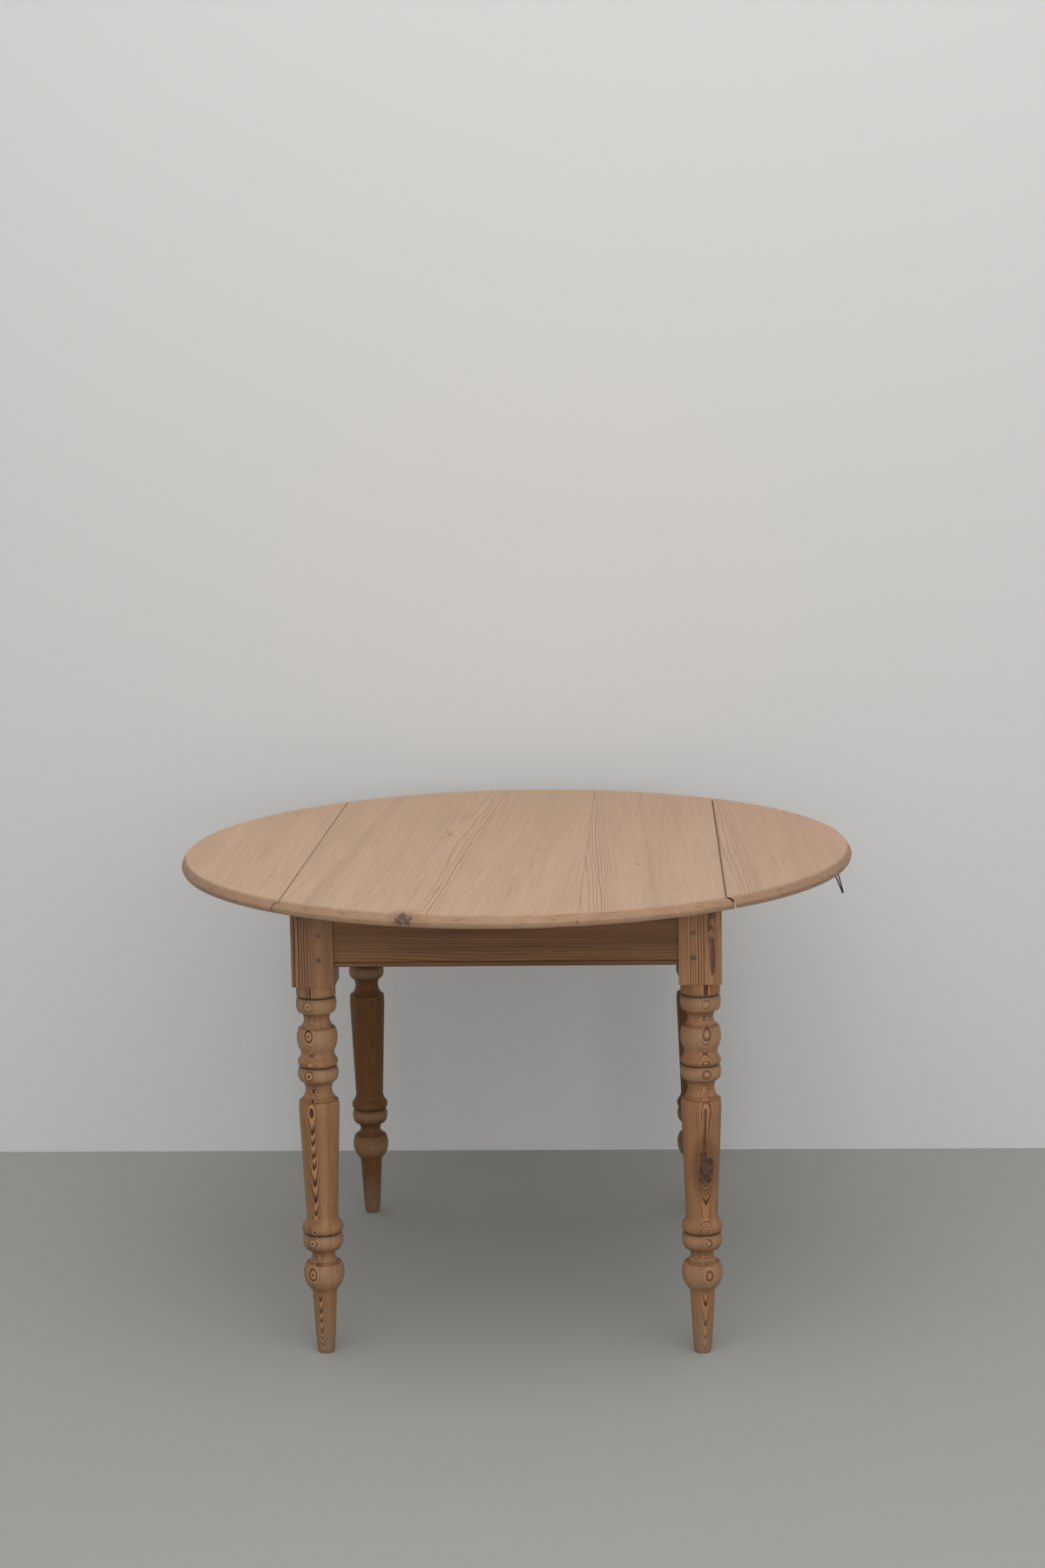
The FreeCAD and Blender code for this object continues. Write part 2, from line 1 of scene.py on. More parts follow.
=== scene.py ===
import bmesh
import bpy
import math
from mathutils import Euler, Matrix, Vector

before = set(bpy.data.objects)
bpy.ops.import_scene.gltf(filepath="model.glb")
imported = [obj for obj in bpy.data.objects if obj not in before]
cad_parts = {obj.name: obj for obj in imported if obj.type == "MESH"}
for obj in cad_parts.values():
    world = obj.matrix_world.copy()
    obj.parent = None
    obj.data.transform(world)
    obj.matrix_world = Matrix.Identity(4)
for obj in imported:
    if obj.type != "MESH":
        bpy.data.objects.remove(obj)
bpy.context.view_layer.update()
scene = bpy.context.scene
print("frame loaded")


# camera, floor, wall and lights
studio = {
    "cameraPlace": (0.2315, -4.4322, 1.5307),
    "cameraRight": (0.99874, 0.04694, -0.01758),
    "cameraUp": (0.01025, 0.15197, 0.98833),
    "lens": 61.92,
    "sensorHeight": 36.0,
    "floorColour": (0.43, 0.43, 0.41, 1),
    "floorShade": (0.36, 0.37, 0.35, 1),
    "wallColour": (0.74, 0.735, 0.72, 1),
    "wallShade": (0.66, 0.66, 0.65, 1),
    "wallY": 0.752,
    "floorHalf": (9.0, 9.0),
    "wallHalf": (9.0, 3.5),
    "cloudScale": 1.3,  # pale clouds in the paint
    "cloudShare": 0.10,
    "worldColour": (0.93, 0.96, 1.0, 1),
    "worldStrength": 0.44,
    "lamps": {
        "overhead": {"place": (0.2, -1.7, 3.6), "target": (0, 0.2, 0.6), "power": 55,
                     "size": (4.2, 3.0), "colour": (1.0, 0.98, 0.955)},
        "frontFill": {"place": (0.8, -5.4, 1.7), "target": (0, 0.7, 0.6), "power": 85,
                      "size": (4.0, 3.0), "colour": (1.0, 0.99, 0.98)},
        "backFill": {"place": (1.6, 4.4, 3.0), "target": (0, 0, 0.5), "power": 24,
                     "size": (3.0, 2.4), "colour": (1.0, 0.99, 0.98)},
    },
}


class Wire:
    # one value inside a shader; sums written on it add their own nodes
    def __init__(self, finish, socket):
        self.finish = finish
        self.socket = socket

    def math(self, operation, *others):
        return self.finish.node("ShaderNodeMath", {"operation": operation},
                                dict(enumerate((self,) + others)))

    def __add__(self, other):
        return self.math("ADD", other)

    def __sub__(self, other):
        return self.math("SUBTRACT", other)

    def __mul__(self, other):
        return self.math("MULTIPLY", other)

    def __truediv__(self, other):
        return self.math("DIVIDE", other)

    def __pow__(self, other):
        return self.math("POWER", other)

    __radd__ = __add__
    __rmul__ = __mul__

    def __rsub__(self, other):
        return self * -1.0 + other

    def __abs__(self):
        return self.math("ABSOLUTE")

    def step(self, low, high):
        # 0 below low, 1 above high, and a soft rise between them
        return self.finish.node("ShaderNodeMapRange", {"interpolation_type": "SMOOTHSTEP"},
                                {"Value": self, "From Min": low, "From Max": high})

    def bell(self, middle, width):
        # 1 at the middle, falling softly to 0 a width away
        return 1.0 - abs(self - middle).step(0.0, width)


class Finish:
    # one material, and the nodes that paint it
    def __init__(self, name):
        self.material = bpy.data.materials.new(name)
        self.material.use_nodes = True
        self.tree = self.material.node_tree
        self.tree.nodes.clear()

    def node(self, kind, settings=None, inputs=None, out=0):
        made = self.tree.nodes.new(kind)
        for key, value in (settings or {}).items():
            setattr(made, key, value)
        for key, value in (inputs or {}).items():
            self.feed(made.inputs[key], value)
        return Wire(self, made.outputs[out]) if made.outputs else None

    def feed(self, socket, value):
        if isinstance(value, Wire):
            self.tree.links.new(value.socket, socket)
        else:
            socket.default_value = value

    def place(self, centre=(0, 0, 0), turn=(0, 0, 0), stretch=(1, 1, 1)):
        spot = self.node("ShaderNodeTexCoord", out="Object")
        return self.node("ShaderNodeMapping", {"vector_type": "TEXTURE"},
                         {"Vector": spot, "Location": centre,
                          "Rotation": [math.radians(a) for a in turn], "Scale": stretch})

    def parts(self, vector):
        cut = self.tree.nodes.new("ShaderNodeSeparateXYZ")
        self.feed(cut.inputs[0], vector)
        return [Wire(self, one) for one in cut.outputs]

    def join(self, x, y, z):
        return self.node("ShaderNodeCombineXYZ", None, {0: x, 1: y, 2: z})

    def noise(self, vector, scale, detail=2.0, rough=0.5):
        return self.node("ShaderNodeTexNoise", {"noise_dimensions": "3D"},
                         {"Vector": vector, "Scale": scale, "Detail": detail,
                          "Roughness": rough})

    def mix(self, factor, first, second, blend="MIX"):
        return self.node("ShaderNodeMix", {"data_type": "RGBA", "blend_type": blend},
                         {0: factor, 6: first, 7: second}, 2)

    def grey(self, value):
        return self.node("ShaderNodeCombineColor", None, {0: value, 1: value, 2: value})

    def surface(self, colour, roughness, bump, bumpHeight, metallic=0.0, specular=0.35):
        relief = self.node("ShaderNodeBump", None, {
            "Height": bump, "Strength": 1.0, "Distance": bumpHeight})
        shader = self.node("ShaderNodeBsdfPrincipled", None, {
            "Base Color": colour, "Roughness": roughness, "Metallic": metallic,
            "Specular IOR Level": specular, "Normal": relief})
        self.node("ShaderNodeOutputMaterial", None, {"Surface": shader})
        return self.material


def dress(names, material):
    # gives the named pieces their finish
    for name in names:
        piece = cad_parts[name]
        for slot in piece.material_slots:
            slot.link = "OBJECT"
            slot.material = material
        if not piece.material_slots:
            piece.data.materials.append(material)


def oneSided(name, colour, shade):
    # matt paint that is clear from behind, so that it never stands before the table
    paint = Finish(name)
    cloudy = paint.noise(paint.place(), studio["cloudScale"], 3.0) * studio["cloudShare"]
    matt = paint.node("ShaderNodeBsdfDiffuse", None, {"Color": paint.mix(cloudy, colour, shade)})
    clear = paint.node("ShaderNodeBsdfTransparent")
    behind = paint.node("ShaderNodeNewGeometry", out="Backfacing")
    both = paint.node("ShaderNodeMixShader", None, {0: behind, 1: matt, 2: clear})
    paint.node("ShaderNodeOutputMaterial", None, {"Surface": both})
    return paint.material


def flatPanel(name, place, tilt, halfSize, material):
    # one big square, sized, tilted and put in its place
    shape = bmesh.new()
    bmesh.ops.create_grid(shape, x_segments=1, y_segments=1, size=1.0)
    bmesh.ops.transform(shape, verts=shape.verts, matrix=Matrix.LocRotScale(
        Vector(place), Euler((tilt, 0, 0)), Vector((*halfSize, 1))))
    mesh = bpy.data.meshes.new(name)
    shape.to_mesh(mesh)
    shape.free()
    mesh.materials.append(material)
    panel = bpy.data.objects.new(name, mesh)
    scene.collection.objects.link(panel)


def hangLamp(name, look):
    lamp = bpy.data.lights.new(name, "AREA")
    lamp.energy = look["power"]
    lamp.color = look["colour"]
    lamp.shape = "RECTANGLE"
    lamp.size, lamp.size_y = look["size"]
    holder = bpy.data.objects.new(name, lamp)
    scene.collection.objects.link(holder)
    place = Vector(look["place"])
    holder.location = place
    holder.rotation_euler = (Vector(look["target"]) - place).to_track_quat("-Z", "Y").to_euler()


def makeStudio():
    right = Vector(studio["cameraRight"])
    up = Vector(studio["cameraUp"])
    back = right.cross(up)
    camera = bpy.data.objects.new("camera", bpy.data.cameras.new("camera"))
    scene.collection.objects.link(camera)
    camera.matrix_world = Matrix.LocRotScale(
        Vector(studio["cameraPlace"]), Matrix((right, up, back)).transposed(), None)
    camera.data.sensor_fit = "VERTICAL"
    camera.data.sensor_height = studio["sensorHeight"]
    camera.data.lens = studio["lens"]
    scene.camera = camera

    flatPanel("floor", (0, 0, 0), 0.0, studio["floorHalf"],
              oneSided("paleFloor", studio["floorColour"], studio["floorShade"]))
    flatPanel("wall", (0, studio["wallY"], studio["wallHalf"][1]), math.radians(90),
              studio["wallHalf"], oneSided("paleWall", studio["wallColour"], studio["wallShade"]))

    world = bpy.data.worlds.new("softSky")
    scene.world = world
    world.use_nodes = True
    sky = world.node_tree.nodes["Background"]
    sky.inputs["Color"].default_value = studio["worldColour"]
    sky.inputs["Strength"].default_value = studio["worldStrength"]
    scene.view_settings.view_transform = "Standard"
    for name, look in studio["lamps"].items():
        hangLamp(name, look)


makeStudio()
print("studio made")


# wood
grain = {
    # noises drawn out along the grain: share of the length that counts, scale, detail, roughness
    "ripple": (0.12, 60.0, 2.0),
    "fibre": (0.018, 1500.0, 2.0, 0.6),
    "broad": (0.06, 26.0, 2.0, 0.5),
    "dash": (0.03, 620.0, 0.0),
    "streakAlong": 0.030, "fadeAlong": 0.10,
    "unevenAcross": 0.35, "unevenAlong": 0.05,  # how fast the rings' widths change
    # soft steps, from none to full
    "fadeStep": (0.35, 0.7), "dashStep": (0.70, 0.80),
    "streakStep": (0.35, 0.75), "tintStep": (0.4, 0.75),
    "lateEnd": (0.96, 1.0),  # where a ring's dark wood stops
    # knots: the noise that tears their edges, their circles, and the dark halo round them
    "torn": (110.0, 3.0, 0.6), "tornStep": (0.40, 0.62), "tornShare": 0.5,
    "circleWave": 2.0, "circleStep": (0.2, 0.9), "circleShare": 0.4,
    "haloReach": 2.2, "heartTorn": 1.6, "heartEdge": 0.7,
    # eyes, the closed rings on rounded parts
    "eyeDepth": 0.05, "eyeEdge": (0.85, 1.0), "eyeClears": 0.85,
    "eyeWave": 0.3, "eyeRise": (0.30, 0.70), "eyeFall": (0.90, 1.0),
    # what fibres, streaks and dark wood add to the relief, and streaks and dark wood to the gloss
    "reliefShares": (0.30, 0.30, 0.35), "glossShares": (0.12, 0.08),
}


def pine(name, look):
    # growth rings round a pith line, with soft early wood and dark late wood
    wood = Finish(name)
    local = wood.place(look["pith"], look["turn"])
    across, through, along = wood.parts(local)

    def streaks(share, scale, detail=2.0, rough=0.5):
        # noise that runs along the grain
        return wood.noise(wood.join(across, through, along * share), scale, detail, rough)

    def distance(centre, reach):
        # 0 at the centre of an oval patch and 1 on its rim
        return wood.node("ShaderNodeVectorMath", {"operation": "LENGTH"},
                         {0: wood.place(centre, stretch=reach)}, "Value")

    slow = streaks(look["waveAlong"], look["waveScale"], 1.5)
    quick = streaks(*grain["ripple"])
    radius = (across * across + through * through) ** 0.5
    spread = (radius / look["ringWidth"] + (slow - 0.5) * look["wave"]
              + (quick - 0.5) * look["ripple"])
    knots = []
    for knot in look.get("knots", []):
        gap = distance(knot["place"], knot["stretch"])
        spread = spread + (1.0 - gap.step(0.0, 1.0)) * knot["push"]
        knots.append((knot, gap))
    uneven = wood.noise(wood.join(spread * grain["unevenAcross"], 0.0,
                                  along * grain["unevenAlong"]), 1.0, 1.0)
    phase = (spread + (uneven - 0.5) * look["uneven"]).math("FRACT")
    late = phase.step(look["lateFrom"], look["lateFull"]) * (1.0 - phase.step(*grain["lateEnd"]))
    zone = streaks(grain["fadeAlong"], look["fadeScale"], 1.0).step(*grain["fadeStep"])
    for middle, half in look.get("zones", []):
        zone = zone.math("MAXIMUM", across.bell(middle, half) * look["zoneStrength"])
    if "quietHalf" in look:  # the lines fade out straight above the pith
        zone = zone * (1.0 - across.bell(0.0, look["quietHalf"]))
    eyes = []
    for x, z, wide, tall, rings, strength in look.get("eyes", []):
        gap = distance((x, look["eyeFace"], z), (wide, grain["eyeDepth"], tall))
        inside = 1.0 - gap.step(*grain["eyeEdge"])
        late = late * (1.0 - inside * grain["eyeClears"])
        eyes.append((gap, inside, rings, strength))
    lateAmount = late * (look["lateLow"] + zone * look["lateHigh"])

    fibre = streaks(*grain["fibre"])
    streak = streaks(grain["streakAlong"], look["streakScale"], 3.0, 0.6)
    broad = streaks(*grain["broad"])
    blotch = wood.noise(local, look["blotchScale"], 3.0, 0.55)
    dash = streaks(*grain["dash"]).step(*grain["dashStep"])

    colour = wood.mix(streak.step(*grain["streakStep"]) * look["streak"],
                      look["early"], look["streakColour"])
    colour = wood.mix(blotch.step(*grain["tintStep"]) * look["tint"], colour, look["tintColour"])
    colour = wood.mix(lateAmount, colour, look["late"])
    colour = wood.mix(dash * look["dash"], colour, look["late"])
    shade = ((1.0 + (fibre - 0.5) * look["fibre"]) * (1.0 + (broad - 0.5) * look["broad"])
             * (1.0 + (blotch - 0.5) * look["blotch"]))
    colour = wood.mix(1.0, colour, wood.grey(shade), "MULTIPLY")

    # adds each part's dirt and wear, with painted shade on the legs and aprons and a painted
    # highlight on the top's arris
    colour = look["dirtAndShade"](wood, colour)
    torn = wood.noise(wood.place(), *grain["torn"])
    for knot, gap in knots:
        circles = (gap * knot["circles"] + slow * grain["circleWave"]).math("FRACT")
        circles = circles.step(*grain["circleStep"]) * grain["circleShare"]
        core = wood.mix(circles + torn.step(*grain["tornStep"]) * grain["tornShare"],
                        knot["colour"], knot["ringColour"])
        size = knot["heart"]
        halo = (1.0 - gap.step(size, size * grain["haloReach"])) * knot["halo"]
        colour = wood.mix(halo, colour, look["late"])
        ragged = gap + (torn - 0.5) * size * grain["heartTorn"]
        heart = 1.0 - ragged.step(size * grain["heartEdge"], size)
        colour = wood.mix(heart * knot["strength"], colour, core)
    for gap, inside, rings, strength in eyes:
        lines = (gap * rings + (quick - 0.5) * grain["eyeWave"] + look["eyeStart"]).math("FRACT")
        lines = lines.step(*grain["eyeRise"]) * (1.0 - lines.step(*grain["eyeFall"])) * inside
        colour = wood.mix(lines * strength, colour, look["late"])

    raised, lined, sunk = grain["reliefShares"]
    height = fibre * raised + streak * lined - lateAmount * sunk
    dull, polished = grain["glossShares"]
    rough = look["roughness"] + (streak - 0.5) * dull - lateAmount * polished
    return wood.surface(colour, rough, height, look["relief"], specular=look["specular"])


def dressEach(prefix, shared, dirtAndShade, owns):
    # one finish for each piece: the shared look with the piece's own values laid over it
    for name, own in owns.items():
        dress([name], pine(prefix + name, {**shared, "dirtAndShade": dirtAndShade, **own}))


# the top and its leaves
topLook = {
    "ringWidth": 0.0030,
    "wave": 2.0, "waveScale": 6.0, "waveAlong": 0.35, "ripple": 0.95, "uneven": 1.2,
    "lateFrom": 0.66, "lateFull": 0.93, "lateLow": 0.07, "lateHigh": 0.47, "fadeScale": 9.0,
    "zoneStrength": 1.7,
    "early": (0.605, 0.407, 0.268, 1), "late": (0.25, 0.135, 0.085, 1),
    "streak": 0.50, "streakScale": 130.0, "streakColour": (0.495, 0.315, 0.203, 1),
    "tint": 0.5, "tintColour": (0.555, 0.362, 0.250, 1),
    "dash": 0.25, "fibre": 0.16, "broad": 0.16, "blotch": 0.16, "blotchScale": 5.0,
    "roughness": 0.62, "relief": 0.0005, "specular": 0.3,
}
edgeKnot = {
    "place": (-0.139, -0.580, 0.741), "stretch": (0.036, 0.05, 0.024), "heart": 0.42, "push": 5.0,
    "circles": 9.0, "halo": 0.45, "strength": 0.9,
    "colour": (0.060, 0.042, 0.032, 1), "ringColour": (0.30, 0.205, 0.145, 1),
}
smallKnot = {
    "place": (0.204, -0.195, 0.75), "stretch": (0.020, 0.05, 0.02), "heart": 0.14, "push": 2.5,
    "circles": 5.0, "halo": 0.2, "strength": 0.5,
    "colour": (0.22, 0.14, 0.09, 1), "ringColour": (0.35, 0.22, 0.14, 1),
}
endKnot = {
    "place": (-0.119, 0.10, 0.75), "stretch": (0.014, 0.06, 0.02), "heart": 0.16, "push": 2.0,
    "circles": 4.0, "halo": 0.25, "strength": 0.5,
    "colour": (0.24, 0.15, 0.10, 1), "ringColour": (0.35, 0.22, 0.14, 1),
}
topWearAndHighlight = {
    "faceStep": (0.86, 0.99), "underStep": (0.85, 0.98),  # how level a face or an underside is
    "sideLow": 0.47, "sideRub": 0.40, "rubScale": 26.0, "sideColour": (0.33, 0.185, 0.10, 1),
    # thin lines of dirt that run round the edge
    "layerSquash": 7.0, "layerScale": 45.0, "layerStep": (0.50, 0.72), "layerShare": 0.50,
    "layerColour": (0.17, 0.095, 0.055, 1),
    "arris": (0.7492, 0.0022), "arrisShare": 0.45, "arrisColour": (0.60, 0.43, 0.30, 1),
    # the joints: place across and half width
    "leafJoint": (0.3352, 0.0018), "boardJoint": (0.118, 0.0009), "boardShare": 0.6,
    "jointShare": 0.85, "jointColour": (0.10, 0.065, 0.045, 1),
    "hingeLine": (0.335, 0.7325),  # each leaf's hinge line, across and up
    # the rule joint's curve at the rim: radius and half width
    "curve": (0.0144, 0.0012), "curveStart": (-0.0005, 0.0005), "curveShare": 0.7,
    "curveColour": (0.12, 0.075, 0.05, 1),
    "speckScale": 55.0, "speckStep": (0.66, 0.72), "patchScale": 9.0, "patchStep": (0.5, 0.7),
    "speckShare": 0.2, "speckColour": (0.25, 0.16, 0.10, 1),
    "underShare": 0.5, "underColour": (0.32, 0.21, 0.13, 1),
}


def paintTopWearAndHighlight(wood, colour):
    # the worn edge is browner than the scrubbed face, dirt lies in the joints, and the arris is
    # lighter, partly rubbed wear and partly a painted highlight
    wearAndShading = topWearAndHighlight
    facing = wood.parts(wood.node("ShaderNodeTexCoord", out="Normal"))[2]
    x, y, z = wood.parts(wood.place())
    face = facing.step(*wearAndShading["faceStep"])
    under = (0.0 - facing).step(*wearAndShading["underStep"])
    side = (1.0 - face) * (1.0 - under)
    rub = wood.noise(wood.place(), wearAndShading["rubScale"], 4.0, 0.6)
    layers = wood.noise(wood.join(x, y, z * wearAndShading["layerSquash"]), wearAndShading["layerScale"], 4.0, 0.65)
    colour = wood.mix(side * (wearAndShading["sideLow"] + rub * wearAndShading["sideRub"]), colour, wearAndShading["sideColour"])
    colour = wood.mix(side * layers.step(*wearAndShading["layerStep"]) * wearAndShading["layerShare"],
                      colour, wearAndShading["layerColour"])
    # the arris is painted lighter: partly rubbed wear, partly a painted highlight
    arris = z.bell(*wearAndShading["arris"]) * (1.0 - face)
    colour = wood.mix(arris * wearAndShading["arrisShare"], colour, wearAndShading["arrisColour"])
    leafJoint = abs(x).bell(*wearAndShading["leafJoint"])
    seam = x.bell(*wearAndShading["boardJoint"]) * wearAndShading["boardShare"]
    colour = wood.mix(leafJoint.math("MAXIMUM", seam) * face * wearAndShading["jointShare"],
                      colour, wearAndShading["jointColour"])
    out = abs(x) - wearAndShading["hingeLine"][0]
    rise = z - wearAndShading["hingeLine"][1]
    curve = ((out * out + rise * rise) ** 0.5).bell(*wearAndShading["curve"])
    curve = curve * out.step(*wearAndShading["curveStart"]) * rise.step(*wearAndShading["curveStart"])
    colour = wood.mix(curve * side * wearAndShading["curveShare"], colour, wearAndShading["curveColour"])
    specks = wood.noise(wood.place(), wearAndShading["speckScale"], 3.0, 0.7).step(*wearAndShading["speckStep"])
    patches = wood.noise(wood.place(), wearAndShading["patchScale"], 1.0).step(*wearAndShading["patchStep"])
    colour = wood.mix(specks * patches * wearAndShading["speckShare"], colour, wearAndShading["speckColour"])
    return wood.mix(under * wearAndShading["underShare"], colour, wearAndShading["underColour"])


def makeTop():
    dressEach("scrubbedPine_", topLook, paintTopWearAndHighlight, {
        "top_board_left": {"pith": (-0.115, 0, 0.672), "turn": (-89.95, 0, -2.8),
                           "quietHalf": 0.016, "zones": [(0.040, 0.024), (-0.150, 0.020)],
                           "knots": [edgeKnot, endKnot]},
        "top_board_right": {"pith": (0.098, 0, 0.680), "turn": (-90.05, 0, 1.5),
                            "ringWidth": 0.0024, "knots": [smallKnot],
                            "zones": [(0.040, 0.036), (0.120, 0.018)],
                            "early": (0.605, 0.400, 0.270, 1)},
        "leaf_left": {"pith": (-0.70, 0, 0.60), "turn": (-89.5, 0, 0.8), "lateHigh": 0.16,
                      "early": (0.605, 0.405, 0.262, 1)},
        "leaf_right": {"pith": (0.330, 0, 0.690), "turn": (-89.9, 0, 1.6), "ringWidth": 0.0026,
                       "zones": [(0.036, 0.034)], "lateHigh": 0.38,
                       "early": (0.590, 0.380, 0.258, 1), "tintColour": (0.56, 0.345, 0.24, 1)},
    })


makeTop()
print("top dressed")


# legs
legLook = {
    "turn": (0, 0, 0),
    "ringWidth": 0.0011,
    "wave": 0.9, "waveScale": 12.0, "waveAlong": 0.22, "ripple": 0.35, "uneven": 1.5,
    "lateFrom": 0.36, "lateFull": 0.93, "lateLow": 0.45, "lateHigh": 0.50, "fadeScale": 16.0,
    "zoneStrength": 1.0,
    "early": (0.425, 0.225, 0.100, 1), "late": (0.075, 0.021, 0.011, 1),
    "streak": 0.55, "streakScale": 110.0, "streakColour": (0.240, 0.105, 0.043, 1),
    "tint": 0.45, "tintColour": (0.32, 0.150, 0.062, 1),
    "dash": 0.35, "fibre": 0.24, "broad": 0.30, "blotch": 0.30, "blotchScale": 12.0,
    "roughness": 0.50, "relief": 0.0006, "specular": 0.35,
    "eyeFace": -0.391,  # the rounded parts' nearest surface
}
legKnot = {
    "place": (0.303, -0.390, 0.306), "stretch": (0.026, 0.20, 0.060), "heart": 0.50, "push": -4.5,
    "circles": 5.0, "halo": 0.45, "strength": 0.95,
    "colour": (0.042, 0.024, 0.016, 1), "ringColour": (0.130, 0.072, 0.042, 1),
}
knotTail = {
    "place": (0.3025, -0.390, 0.345), "stretch": (0.010, 0.20, 0.080), "heart": 0.20, "push": -1.5,
    "circles": 2.0, "halo": 0.6, "strength": 0.55,
    "colour": (0.070, 0.026, 0.014, 1), "ringColour": (0.13, 0.055, 0.028, 1),
}
pitchFlame = {
    "place": (0.3175, -0.393, 0.640), "stretch": (0.010, 0.05, 0.075), "heart": 0.22, "push": 2.8,
    "circles": 2.0, "halo": 0.8, "strength": 0.6,
    "colour": (0.085, 0.030, 0.016, 1), "ringColour": (0.20, 0.09, 0.045, 1),
}
blockKnots = [{"place": place, "stretch": (0.012, 0.08, 0.014), "heart": 0.34, "push": 0.4,
               "circles": 3.0, "halo": 0.4, "strength": 0.85,
               "colour": (0.055, 0.032, 0.024, 1), "ringColour": (0.15, 0.085, 0.055, 1)}
              for place in ((0.314, -0.393, 0.668), (0.316, -0.393, 0.707),
                            (-0.318, -0.393, 0.712))]
# closed rings on the rounded parts:
# middle across and up, half width, half height, number of rings, strength
leftEyes = [(-0.308, 0.519, 0.0110, 0.0165, 2.1, 0.95), (-0.308, 0.566, 0.0080, 0.0090, 1.2, 0.7),
            (-0.309, 0.4555, 0.0085, 0.0085, 1.3, 0.9), (-0.311, 0.186, 0.0080, 0.0080, 1.3, 0.8),
            (-0.312, 0.135, 0.0110, 0.0165, 2.1, 0.9)]
rightEyes = [(0.307, 0.519, 0.0075, 0.0120, 1.1, 0.8), (0.307, 0.4555, 0.0080, 0.0080, 1.1, 0.7),
             (0.308, 0.186, 0.0060, 0.0060, 0.9, 0.8), (0.309, 0.133, 0.0095, 0.0150, 1.6, 0.8)]
legWearAndShade = {
    # dirt and painted shade in the turned grooves: height, half width and strength
    "grooves": ((0.5775, 0.0026, 0.92), (0.5305, 0.0012, 0.55), (0.4665, 0.0026, 0.92),
                (0.4170, 0.0011, 0.45), (0.1975, 0.0026, 0.92), (0.1515, 0.0011, 0.5)),
    "grooveColour": (0.030, 0.018, 0.012, 1),
    # softer dirt and painted shade beside them, at these heights
    "softDirtAndShade": (0.5775, 0.5480, 0.4665, 0.4420, 0.1975, 0.1730), "softHalf": 0.0075,
    "softLow": 0.15, "softHigh": 0.45, "softColour": (0.105, 0.055, 0.030, 1),
    "smudgeScale": 30.0, "smudgeStep": (0.45, 0.75), "smudgeShare": 0.20,
    "smudgeColour": (0.18, 0.095, 0.050, 1),
    # bellies that wear has made pale: height and half width
    "scrubbed": ((0.565, 0.018), (0.512, 0.040), (0.454, 0.016), (0.186, 0.014), (0.128, 0.030)),
    "scrubbedLow": 0.20, "scrubbedHigh": 0.35, "scrubbedColour": (0.43, 0.275, 0.170, 1),
    # painted shade: the square block is darker, on the left legs most of all and towards the top,
    # where the top shades it
    "blockBottom": (0.5975, 0.5985), "blockShadeRise": (0.66, 0.73), "middle": (-0.1, 0.1),
    "blockShadeLeft": 0.27, "blockShadeTop": 0.14, "blockShadeColour": (0.092, 0.036, 0.016, 1),
    "foot": (0.004, 0.105), "footLow": 0.20, "footHigh": 0.6, "footColour": (0.27, 0.200, 0.135, 1),
}


def deepest(bands):
    # the strongest of several masks at each point
    whole = bands[0]
    for band in bands[1:]:
        whole = whole.math("MAXIMUM", band)
    return whole


def paintLegWearAndShade(wood, colour):
    wearAndShading = legWearAndShade
    x, _, z = wood.parts(wood.place())
    smudge = wood.noise(wood.place(), wearAndShading["smudgeScale"], 4.0, 0.6)
    # dirt and painted shade in and beside the turned grooves
    near = deepest([z.bell(height, wearAndShading["softHalf"]) for height in wearAndShading["softDirtAndShade"]])
    colour = wood.mix(near * (wearAndShading["softLow"] + smudge * wearAndShading["softHigh"]),
                      colour, wearAndShading["softColour"])
    grooveDirtAndShade = deepest([z.bell(height, half) * strength for height, half, strength in wearAndShading["grooves"]])
    colour = wood.mix(grooveDirtAndShade, colour, wearAndShading["grooveColour"])
    colour = wood.mix(smudge.step(*wearAndShading["smudgeStep"]) * wearAndShading["smudgeShare"],
                      colour, wearAndShading["smudgeColour"])
    scrubbed = deepest([z.bell(height, half) for height, half in wearAndShading["scrubbed"]])
    colour = wood.mix(scrubbed * (wearAndShading["scrubbedLow"] + smudge * wearAndShading["scrubbedHigh"]),
                      colour, wearAndShading["scrubbedColour"])
    # painted shade on the square block under the top, strongest on the left legs
    block = z.step(*wearAndShading["blockBottom"])
    leftSide = 1.0 - x.step(*wearAndShading["middle"])
    paintedBlockShade = leftSide * wearAndShading["blockShadeLeft"] + z.step(*wearAndShading["blockShadeRise"]) * wearAndShading["blockShadeTop"]
    colour = wood.mix(block * paintedBlockShade, colour, wearAndShading["blockShadeColour"])
    foot = (1.0 - z.step(*wearAndShading["foot"])) * (wearAndShading["footLow"] + smudge * wearAndShading["footHigh"])
    return wood.mix(foot, colour, wearAndShading["footColour"])


